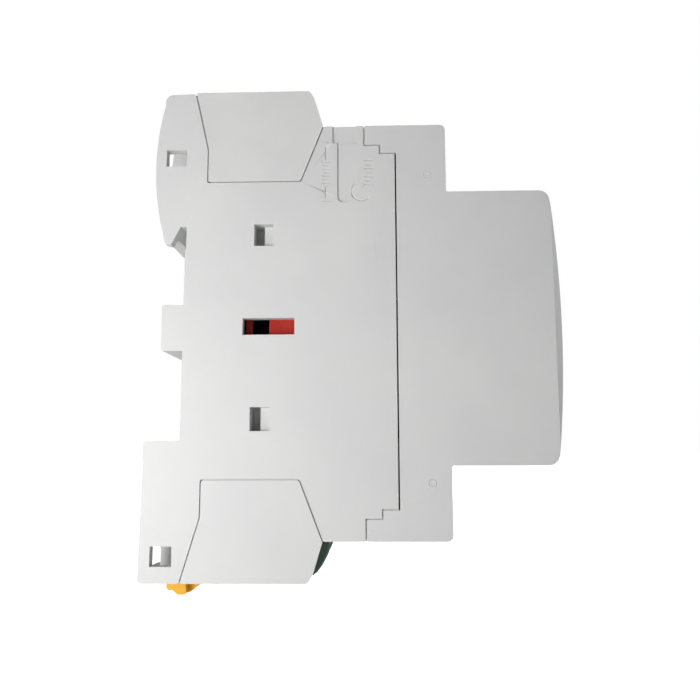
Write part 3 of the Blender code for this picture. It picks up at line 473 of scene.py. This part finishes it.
# one mesh from grids of shape (pieces, rows, columns, 3); the columns close round and the ends get a
# face, unless the rows close round too ("ring") or nothing closes ("sheet")
def gridMesh(name, grids, shape="bar", turn=40):
    grids = np.asarray(grids, float)
    index = np.arange(grids[..., 0].size).reshape(grids.shape[:3])
    below, across = index, np.roll(index, -1, axis=2)
    above, beyond = np.roll(index, -1, axis=1), np.roll(across, -1, axis=1)
    quads = np.stack([below, across, beyond, above], -1)
    if shape != "ring":
        quads = quads[:, :-1]
    if shape == "sheet":
        quads = quads[:, :, :-1]
    caps = index[:, 0, ::-1].tolist() + index[:, -1].tolist() if shape == "bar" else []
    mesh = bpy.data.meshes.new(name)
    mesh.from_pydata((grids.reshape(-1, 3) * mm).tolist(), [], quads.reshape(-1, 4).tolist() + caps)
    if shape != "sheet":
        work = bmesh.new()
        work.from_mesh(mesh)
        bmesh.ops.recalc_face_normals(work, faces=work.faces)
        work.to_mesh(mesh)
        work.free()
    mesh.shade_smooth()
    mesh.set_sharp_from_angle(angle=math.radians(turn))
    return newPiece(name, mesh)


# point (x, depth, height) arrays to the frame's axes, still in millimetres
def spot(x, depth, height):
    x, depth, height = np.broadcast_arrays(x, depth, height)
    return np.stack([x, -depth, height], -1).astype(float)


# round bar: a circle of the given radius carried along a path, square to its direction
def bar(path, radius, sides=10, closed=False):
    path = np.asarray(path, float)
    ahead = np.roll(path, -1, 0) - np.roll(path, 1, 0) if closed else np.gradient(path, axis=0)
    ahead /= np.linalg.norm(ahead, axis=1, keepdims=True)
    fixed = np.array([1.0, 0.0, 0.0]) if abs(ahead[:, 0]).max() < 0.9 else np.array([0.0, 0.0, 1.0])
    if abs(ahead @ fixed).max() > 0.95:
        fixed = np.array([0.31, 0.87, 0.38])
    side = np.cross(ahead, fixed)
    side /= np.linalg.norm(side, axis=1, keepdims=True)
    other = np.cross(ahead, side)
    turn = np.linspace(0, 2 * np.pi, sides, endpoint=False)[None, :, None]
    size = np.broadcast_to(radius, len(path))[:, None, None]
    return path[:, None] + size * (side[:, None] * np.cos(turn) + other[:, None] * np.sin(turn))


padForm = {"steps": 28, "power": 5.0, "levels": (0.0, 0.55, 0.9, 1.0), "inset": (0.0, 0.16, 0.48, 0.96),
           "foot": 0.06}


# low pad on a flat face: a superellipse outline drawn in from its foot to its flat top
def padGrid(centre, halfWide, halfHigh, rise, alongU, alongV, outward):
    turn = np.linspace(0, 2 * np.pi, padForm["steps"], endpoint=False)
    cosine, sine = np.cos(turn), np.sin(turn)
    u = (np.sign(cosine) * np.abs(cosine) ** (2 / padForm["power"]))[None, :, None]
    v = (np.sign(sine) * np.abs(sine) ** (2 / padForm["power"]))[None, :, None]
    lift = np.r_[-padForm["foot"], rise * np.array(padForm["levels"])][:, None, None]
    inset = (rise * np.r_[0.0, padForm["inset"]])[:, None, None]
    wide, high = (halfWide - inset) * u * alongU, (halfHigh - inset) * v * alongV
    return np.asarray(centre, float) + wide + high + lift * outward


# thickness along a bar of that many steps: from a small share at each end to full after a few steps
def endTaper(count, steps, least):
    fromStart = np.arange(count)
    return np.clip(np.minimum(fromStart, fromStart[::-1]) / steps, least, 1)


towardRight = np.array([1.0, 0.0, 0.0])
towardFront = np.array([0.0, -1.0, 0.0])
upward = np.array([0.0, 0.0, 1.0])


sideMarks = {"depth": 0.2, "side": -17.8,
             "pads": [  # depth, height, half depth, half height
                 (23.25, 31.5, 0.5, 0.12), (23.6, 21.1, 0.78, 0.13), (23.35, 29.4, 0.12, 1.15),
                 (23.35, 22.65, 0.12, 1.05), (23.5, 27.9, 0.8, 0.14), (23.4, 27.3, 0.55, 0.13),
                 (23.5, 26.7, 0.8, 0.14), (23.6, 26.1, 0.6, 0.13), (23.5, 25.5, 0.8, 0.14),
                 (23.4, 24.9, 0.55, 0.13), (23.5, 24.3, 0.8, 0.14), (30.6, 28.1, 0.8, 0.14),
                 (30.5, 27.4, 0.55, 0.13), (30.6, 26.7, 0.8, 0.14), (30.7, 26.0, 0.6, 0.13),
                 (30.6, 25.3, 0.8, 0.14), (30.5, 24.6, 0.55, 0.13), (30.6, 23.9, 0.8, 0.14)],
             "arcCentre": (29.35, 22.8), "arcRadius": 1.62, "arcFrom": 108, "arcTo": 334,
             "arcWidth": 0.19, "arcSteps": 40}


# engraved side marks: a plain dimension line, two stacks of short bars and an open ring
def makeSideMarks(marks):
    x = marks["side"]
    pads = [padGrid(spot(x, d, z), hd, hz, marks["depth"], towardFront, upward, towardRight)
            for d, z, hd, hz in marks["pads"]]
    turn = np.radians(np.linspace(marks["arcFrom"], marks["arcTo"], marks["arcSteps"]))
    d = marks["arcCentre"][0] + marks["arcRadius"] * np.cos(turn)
    z = marks["arcCentre"][1] + marks["arcRadius"] * np.sin(turn)
    width = marks["arcWidth"] * endTaper(marks["arcSteps"], 3, 0.15)
    cutters = [gridMesh("markBars", pads, turn=25), gridMesh("markRing", [bar(spot(x, d, z), width)])]
    both = bmesh.new()
    for cutter in cutters:
        both.from_mesh(cutter.data)
        bpy.data.objects.remove(cutter)
    mesh = bpy.data.meshes.new("markCutter")
    both.to_mesh(mesh)
    both.free()
    return newPiece("markCutter", mesh)


shellEdges = {"width": 0.08}
for node, name, material, cutter in (
        ("base_housing", "baseShell", "housing_plastic", makeSideMarks(sideMarks)),
        ("front_cover", "frontShell", "housing_plastic", None),
        ("upper_terminal_block", "upperBlock", "block_plastic", None),
        ("lower_terminal_block", "lowerBlock", "block_plastic", None)):
    roundedCopy(node, name, "housing", "housing_plastic", shellEdges, finish[material], cutter)
roundedCopy("rating_label_plate", "labelPlate", "housing", "label_film", {"width": 0.1})
roundedCopy("status_window", "statusWindow", "housing", "window_clear", {"width": 0.2, "steps": 3})
roundedCopy("pole_barrier", "poleBarrier", "housing", "insulating_plastic", {"width": 0.15})
roundedCopy("relay_case", "relayCase", "housing", "insulating_plastic", {"width": 0.15})
roundedCopy("rail_clip", "railClip", "clip", "clip_plastic", {"width": 0.22, "steps": 3})
roundedCopy("trip_lever", "tripLever", "trip", "trip_plastic", {"width": 0.15})
roundedCopy("toggle_handle", "toggleHandle", "toggle", "lever_plastic", {"width": 0.25, "steps": 3})
roundedCopy("test_button", "testButton", "button", "button_plastic", {"width": 0.15, "steps": 3})
roundedCopy("contact_carrier", "contactCarrier", "contacts", "carrier_plastic", {"width": 0.15})
roundedCopy("toroid_core", "toroidCore", "housing", "core_case", {"width": 0.4, "steps": 3})
print("shells rounded")

seamLips = {"faces": (17.45, 17.15), "halfWide": 0.085,
            "seams": [  # depth, height along each seam, a little short of its ends
                [(1.22, 40.3), (3.5, 30.5), (3.5, 24.6), (19.22, 24.6), (23.0, 34.2)],
                [(0.53, -40.5), (3.5, -30.5), (3.5, -24.6), (19.22, -24.6), (23.0, -34.2)],
                [(29.8, 34.1), (29.8, 30.75), (32.4, 30.75), (32.4, 29.3), (34.95, 29.3)],
                [(29.8, -34.1), (29.8, -30.75), (32.4, -30.75), (32.4, -29.3), (34.95, -29.3)]]}


# lips: a flat strip along each seam just under both side faces; its edges lie half a width either
# side of the seam, square to it and mitred at the corners
def makeSeamLips(lips):
    seams = np.array(lips["seams"])
    step = np.diff(seams, axis=1)
    unit = step / np.linalg.norm(step, axis=2, keepdims=True)
    square = np.stack([-unit[..., 1], unit[..., 0]], -1)
    before = np.concatenate([square[:, :1], square], 1)
    after = np.concatenate([square, square[:, -1:]], 1)
    mitre = (before + after) / (1 + (before * after).sum(-1, keepdims=True))
    near, far = lips["faces"]
    grids = []
    for side in (-1, 1):
        corners = [(near, 1), (far, 1), (far, -1), (near, -1)]
        edges = [(x, seams + hand * lips["halfWide"] * mitre) for x, hand in corners]
        grids.append(np.stack([spot(side * x, edge[..., 0], edge[..., 1]) for x, edge in edges], 2))
    return gridMesh("seamLips", np.concatenate(grids), turn=25)


register(makeSeamLips(seamLips), "housing", "housing_plastic")

shieldRibs = {"reach": 14.9, "pitch": 0.92, "halfWidth": 0.2, "height": 0.17, "hole": 2.75,
              "poleX": 8.3, "start": 0.02, "belowHole": 0.86, "end": 0.99,
              "lower": [(23.89, 34.95), (23.83, 35.3), (23.48, 36.5), (22.68, 38.0), (21.55, 39.5)],
              "upper": [(22.48, 35.0), (21.4, 38.6), (21.22, 39.2)]}


# ribs: flattened bars side by side along the width, each carried down the bowed profile and
# thinned to nothing at its ends; those that meet a driver hole start below it
def makeShieldRibs(level, ribs):
    corners = np.array(ribs["upper" if level > 0 else "lower"])
    run = np.r_[0, np.cumsum(np.hypot(*np.diff(corners, axis=0).T))]
    xs = np.arange(-ribs["reach"], ribs["reach"] + 0.01, ribs["pitch"])
    nearHole = np.minimum(abs(xs - ribs["poleX"]), abs(xs + ribs["poleX"])) < ribs["hole"]
    start = np.where(nearHole, ribs["belowHole"], ribs["start"])[:, None]
    along = start + (ribs["end"] - start) * np.linspace(0, 1, 18)[None, :]
    depth = np.interp(along * run[-1], run, corners[:, 0])
    height = np.interp(along * run[-1], run, corners[:, 1])
    slopeD, slopeZ = np.gradient(depth, axis=1), np.gradient(height, axis=1)
    size = np.hypot(slopeD, slopeZ)
    outD, outZ = slopeZ / size, -slopeD / size
    taper = np.clip(np.minimum(along - start, ribs["end"] - along) * 14, 0.02, 1) ** 0.5
    turn = np.linspace(0, 2 * np.pi, 8, endpoint=False)
    lift = ribs["height"] * taper[:, :, None] * np.sin(turn)
    wide = ribs["halfWidth"] * taper[:, :, None] * np.cos(turn)
    grid = spot(xs[:, None, None] + wide, depth[:, :, None] + outD[:, :, None] * lift,
                level * (height[:, :, None] + outZ[:, :, None] * lift))
    return gridMesh("shieldRibsUpper" if level > 0 else "shieldRibsLower", grid, turn=80)


for level, end in ((1, "upper"), (-1, "lower")):
    roundedCopy(f"{end}_terminal_shield", f"{end}Shield", "housing", "shield_plastic", {"width": 0.1})
    register(makeShieldRibs(level, shieldRibs), "housing", "shield_plastic")
print("shields ribbed")

ejectorMarks = {"places": [(40.2, 25.3), (40.2, -25.3)], "sides": (-17.77, 17.77), "radius": 0.6,
                "thick": 0.13}


# ejector rings: a thin bar carried round a circle, half sunk in each side face
def makeEjectorRings(marks):
    turn = np.linspace(0, 2 * np.pi, 36, endpoint=False)
    along, up = marks["radius"] * np.cos(turn), marks["radius"] * np.sin(turn)
    rings = [bar(spot(x, d + along, z + up), marks["thick"], 8, closed=True)
             for x in marks["sides"] for d, z in marks["places"]]
    return gridMesh("ejectorRings", rings, shape="ring")


register(makeEjectorRings(ejectorMarks), "housing", "housing_plastic")

noseFace = {"front": 62.1, "radius": 126.0, "sunk": 0.02}
frontMarks = {"x": -0.1, "radius": 0.95, "thick": 0.16, "height": 8.6}


# depth of the nose's face at a height: a circle bowed outwards, less how far a mark sinks in
def faceDepth(z):
    radius = noseFace["radius"]
    return noseFace["front"] - radius + np.sqrt(radius ** 2 - z ** 2) - noseFace["sunk"]


# front marks: a closed ring by the open end of the lever's travel and a bar by the closed end
def makeFrontMarks(marks):
    turn = np.linspace(0, 2 * np.pi, 40, endpoint=False)
    z = -marks["height"] + marks["radius"] * np.sin(turn)
    across = marks["x"] + marks["radius"] * np.cos(turn)
    ring = bar(spot(across, faceDepth(z), z), marks["thick"], closed=True)
    z = np.linspace(marks["height"] - marks["radius"], marks["height"] + marks["radius"], 12)
    line = bar(spot(marks["x"], faceDepth(z), z), marks["thick"] * endTaper(12, 1.5, 0.2))
    return gridMesh("openMark", [ring], "ring"), gridMesh("closedMark", [line])


for piece in makeFrontMarks(frontMarks):
    register(piece, "housing", "lever_plastic")

buttonRim = {"centre": (8.3, 14.2), "radius": 4.05, "thick": 0.24}


# collar: a ring round the button that follows the nose's face
def makeButtonCollar(rim):
    turn = np.linspace(0, 2 * np.pi, 56, endpoint=False)
    z = rim["centre"][1] + rim["radius"] * np.sin(turn)
    path = spot(rim["centre"][0] + rim["radius"] * np.cos(turn), faceDepth(z), z)
    return gridMesh("buttonCollar", [bar(path, rim["thick"], closed=True)], "ring")


register(makeButtonCollar(buttonRim), "housing", "housing_plastic")
print("relief and marks made")

leverGrip = {"axis": (50.0, 0.0), "x": (-12.9, -3.1), "swing": -38.0, "count": 4, "first": 8.6,
             "pitch": 1.0, "thick": 0.17, "steps": 14,
             "foot": (4.5, 3.4), "tip": (13.2, 1.7)}  # reach and half thickness of the lever


# grip: bars across both faces of the lever, where its half thickness runs evenly from foot to tip,
# turned with it to its rest position
def makeLeverGrip(grip):
    swing = math.radians(grip["swing"])
    reach = grip["first"] + grip["pitch"] * np.arange(grip["count"])
    halfHigh = np.interp(reach, *zip(grip["foot"], grip["tip"]))
    xs = np.linspace(*grip["x"], grip["steps"])
    thick = grip["thick"] * endTaper(grip["steps"], 1.2, 0.25)
    bars = []
    for r, h in zip(reach, halfHigh):
        for face in (1, -1):
            d = grip["axis"][0] + r * math.cos(swing) - face * h * math.sin(swing)
            z = grip["axis"][1] + r * math.sin(swing) + face * h * math.cos(swing)
            bars.append(bar(spot(xs, d, z), thick))
    return gridMesh("leverGrip", bars)


register(makeLeverGrip(leverGrip), "toggle", "lever_plastic")
print("lever grip made")


screwThread = {"radius": 1.43, "depth": 0.2, "pitch": 0.8, "from": 13.1, "to": 18.05, "poleX": 8.3,
               "height": 36.6}


# thread: radius around the shank follows a rounded triangle wave of turn and distance, one grid
def makeThread(name, x, height, thread):
    turn = np.linspace(0, 2 * np.pi, 40, endpoint=False)[None, :]
    along = np.linspace(thread["from"], thread["to"], 100)[:, None]
    wave = 2 * np.abs(((along / thread["pitch"] - turn / (2 * np.pi)) % 1.0) - 0.5)
    ends = np.clip(np.minimum(along - thread["from"], thread["to"] - along) / 0.35, 0, 1)
    radius = thread["radius"] + thread["depth"] * wave * ends
    across, up = x + radius * np.cos(turn), height + radius * np.sin(turn)
    return gridMesh(name, [spot(across, along, up)], turn=60)


for level, end in ((1, "supply"), (-1, "load")):
    for side, pole in ((-1, "line"), (1, "neutral")):
        tag = f"{end}_{pole}"
        title = end.capitalize() + pole.capitalize()
        roundedCopy(f"terminal_screw_{tag}", f"screw{title}", f"screw_{tag}", "steel", {"width": 0.12})
        thread = makeThread(f"thread{title}", side * screwThread["poleX"],
                            level * screwThread["height"], screwThread)
        register(thread, f"screw_{tag}", "steel")
        roundedCopy(f"terminal_cage_{tag}", f"cage{title}", f"cage_{tag}", "tinned_brass",
                    {"width": 0.18})
for node, name in (("fixed_contact_line", "fixedContactLine"),
                   ("fixed_contact_neutral", "fixedContactNeutral"),
                   ("load_busbar_line", "loadBusbarLine"),
                   ("load_busbar_neutral", "loadBusbarNeutral")):
    roundedCopy(node, name, "housing", "copper_bar", {"width": 0.12})
for pole in ("line", "neutral"):
    roundedCopy(f"moving_contact_{pole}", f"movingContact{pole.capitalize()}", "contacts", "copper_bar",
                {"width": 0.12})
roundedCopy("test_contact_leaf", "testLeaf", "housing", "tinned_brass", {"width": 0.08})
roundedCopy("mechanism_frame", "mechanismFrame", "housing", "steel", {"width": 0.12})
roundedCopy("toggle_link", "toggleLink", "link", "steel", {"width": 0.12})
print("terminals and contacts made")


wireRoute = {"radius": 1.2, "points": [(8.3, 17.9, -20.9), (7.4, 21.0, -20.9), (4.2, 25.6, -20.7),
                                       (2.2, 28.0, -18.2), (2.2, 28.0, -13.0), (2.4, 28.0, -8.0),
                                       (5.6, 27.0, -4.6), (8.3, 25.5, -1.3)]}


# smooth curve through points: each span blends its four nearest points with cubic weights
def smoothCurve(points, perSpan):
    points = np.array(points, float)
    ends = np.vstack([2 * points[0] - points[1], points, 2 * points[-1] - points[-2]])
    t = np.linspace(0, 1, perSpan, endpoint=False)[None, :, None]
    a, b, c, d = (ends[i:len(ends) - 3 + i, None] for i in range(4))
    spans = 0.5 * (2 * b + (c - a) * t + (2 * a - 5 * b + 4 * c - d) * t ** 2
                   + (3 * b - a - 3 * c + d) * t ** 3)
    return np.vstack([spans.reshape(-1, 3), points[-1:]])


for side, pole, slotName in ((-1, "line", "insulation_black"), (1, "neutral", "insulation_blue")):
    route = smoothCurve([(side * x, d, z) for x, d, z in wireRoute["points"]], 9)
    wire = gridMesh(f"wire{pole.capitalize()}", [bar(spot(*route.T), wireRoute["radius"], 16)])
    register(wire, "housing", slotName, replaced=(f"{pole}_conductor",))

springs = {
    "toggleSpring": ("toggle_spring", "housing", "X", (-12.0, 50.0, 0.0), 3.5, 2.2, 3.25, 0.32),
    "testSpring": ("test_button_spring", "housing", "D", (8.3, 50.7, 14.2), 2.6, 6.5, 4.0, 0.28),
}


# helix: the angle grows evenly along the axis
def helix(along, centre, radius, length, turns):
    t = np.linspace(0, 1, int(turns * 28))
    turn = 2 * np.pi * turns * t
    on = length * t
    u, v = radius * np.cos(turn), radius * np.sin(turn)
    if along == "X":
        return spot(centre[0] + on, centre[1] + u, centre[2] + v)
    return spot(centre[0] + u, centre[1] + on, centre[2] + v)


for name, (node, body, along, centre, radius, length, turns, thick) in springs.items():
    coil = gridMesh(name, [bar(helix(along, centre, radius, length, turns), thick, 10)])
    register(coil, body, "spring_steel", replaced=(node,))
    if name == "testSpring":
        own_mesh(coil)

winding = {"centre": (0.0, 28.0), "middle": -13.0, "tall": 4.45, "inner": 5.75, "outer": 10.85,
           "turns": 54, "from": -62, "to": 242, "thick": 0.26, "square": 6}


# winding: a helix whose loop is a superellipse round the core's section while it goes round the ring
def makeWinding(w):
    t = np.linspace(0, 1, w["turns"] * 20)
    loop = 2 * np.pi * w["turns"] * t
    bearing = np.radians(w["from"] + (w["to"] - w["from"]) * t)
    c, s = np.cos(loop), np.sin(loop)
    out = np.sign(c) * np.abs(c) ** (2 / w["square"])
    up = np.sign(s) * np.abs(s) ** (2 / w["square"])
    radius = (w["inner"] + w["outer"]) / 2 + (w["outer"] - w["inner"]) / 2 * out
    x = w["centre"][0] + radius * np.cos(bearing)
    d = w["centre"][1] + radius * np.sin(bearing)
    path = spot(x, d, w["middle"] + w["tall"] * up)
    return gridMesh("toroidWinding", [bar(path, w["thick"], 6)], turn=80)


register(makeWinding(winding), "housing", "enamelled_wire", replaced=("toroid_winding",))

relayTurns = {"centre": (7.0, 7.2), "from": -10.0, "to": -2.2, "radius": 2.78, "thick": 0.17,
              "turns": 26}


# relay coil: a helix of touching turns on the bobbin
def makeRelayCoil(r):
    t = np.linspace(0, 1, r["turns"] * 24)
    turn = 2 * np.pi * r["turns"] * t
    path = spot(r["centre"][0] + r["radius"] * np.cos(turn),
                r["centre"][1] + r["radius"] * np.sin(turn), r["from"] + (r["to"] - r["from"]) * t)
    return gridMesh("relayTurns", [bar(path, r["thick"], 6)], turn=80)


register(makeRelayCoil(relayTurns), "housing", "enamelled_wire")
print("wires and springs made")


# CAD nodes that stay as they are
kept = {"toggle_axle": "steel", "carrier_axle": "steel", "trip_lever_pin": "steel",
        "relay_plunger": "steel", "relay_coil": "core_case", "test_resistor": "resistor_body",
        "status_flag": "flag_plastic", "contact_spring_line": "spring_steel",
        "contact_spring_neutral": "spring_steel"}
for node, slotName in kept.items():
    for slot in nodes[node].material_slots:
        slot.material = finish[slotName]
print("finishes on", len(kept), "kept nodes")


floorShape = {"height": -44.6, "half": 4000.0, "steps": 21}


# floor: a plain level sheet of x and y
def makeFloor(shape):
    x, y = np.meshgrid(*[np.linspace(-shape["half"], shape["half"], shape["steps"])] * 2)
    return gridMesh("studioFloor", [np.stack([x, y, np.full_like(x, shape["height"])], -1)], "sheet")


floorLook = {"paper": (0.5, 0.56), "glow": (0.42, 0.64), "reach": (0.1, 0.45), "seen": 0.62}
floorPaper, floorTree, floorShader = startMaterial("studioPaper", {
    "Roughness": 0.9, "Specular IOR Level": 0.1, "Emission Color": grey(1.0)})
grain = useGroup(floorTree, mouldedSkin, {"Fineness": 900.0, "Drift": 6.0})
paper = blend(floorTree, grain["Tone"], *map(grey, floorLook["paper"]))
floorTree.links.new(paper, floorShader["Base Color"])
away = addNode(floorTree, "VectorMath", {"operation": "LENGTH"}, {0: place(floorTree)}).outputs["Value"]
glow = ramp(floorTree, away, *floorLook["reach"], *floorLook["glow"], "SMOOTHSTEP")
seenPaper = addNode(floorTree, "LightPath").outputs["Is Camera Ray"]
floorTree.links.new(maths(floorTree, "MULTIPLY_ADD", seenPaper, floorLook["seen"], glow),
                    floorShader["Emission Strength"])
floor = makeFloor(floorShape)
floor.data.materials.append(floorPaper)

panels = {  # place in mm, aim in mm, size in mm, watts, colour
    "keyPanel": ((-128, 62, -34), (-18, 0, -34), (50, 50), 0.209, (1.0, 0.995, 0.985)),
    "topPanel": ((-120, -40, 620), (0, -20, 0), (900, 900), 2.35, (1.0, 1.0, 1.0)),
    "frontPanel": ((430, -380, 150), (0, -40, 0), (300, 300), 2.0, (0.985, 0.99, 1.0)),
}
for name, (where, aim, size, watts, colour) in panels.items():
    light = bpy.data.lights.new(name, "AREA")
    light.shape = "RECTANGLE"
    light.size, light.size_y = size[0] * mm, size[1] * mm
    light.energy = watts
    light.color = colour
    holder = bpy.data.objects.new(name, light)
    holder.visible_camera = False
    scene.collection.objects.link(holder)
    holder.location = Vector(where) * mm
    holder.rotation_euler = (Vector(aim) - Vector(where)).to_track_quat("-Z", "Y").to_euler()

skyLight = {"fill": 0.05, "backdrop": 1.0}
world = bpy.data.worlds.new("studioAir")
scene.world = world
world.use_nodes = True
sky = world.node_tree
shade = sky.nodes["Background"]
seen = addNode(sky, "LightPath")
strength = ramp(sky, seen.outputs["Is Camera Ray"], 0.0, 1.0, skyLight["fill"], skyLight["backdrop"])
sky.links.new(strength, shade.inputs["Strength"])
shade.inputs["Color"].default_value = (1.0, 1.0, 1.0, 1.0)
scene.view_settings.view_transform = "Standard"

viewPoint = {"away": 118.3, "ahead": 30.8, "height": -20.5, "lens": 38.0, "sensor": 36.0,
             "yaw": -1.67, "pitch": 7.95, "roll": 0.18}


# camera on the left side; yaw turns it towards the rail, pitch tilts it up
def makeCamera(v):
    data = bpy.data.cameras.new("studioCamera")
    data.lens, data.sensor_width, data.clip_start = v["lens"], v["sensor"], 0.005
    camera = bpy.data.objects.new("studioCamera", data)
    scene.collection.objects.link(camera)
    camera.location = (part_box("base_housing")[0].x - v["away"] * mm, -v["ahead"] * mm, v["height"] * mm)
    yaw, pitch = math.radians(v["yaw"]), math.radians(v["pitch"])
    level = math.cos(pitch)
    forward = Vector((math.cos(yaw) * level, -math.sin(yaw) * level, math.sin(pitch)))
    turned = forward.to_track_quat("-Z", "Y")
    turned.rotate(Quaternion(forward, math.radians(v["roll"])))
    camera.rotation_euler = turned.to_euler()
    scene.camera = camera


makeCamera(viewPoint)
print("studio set")
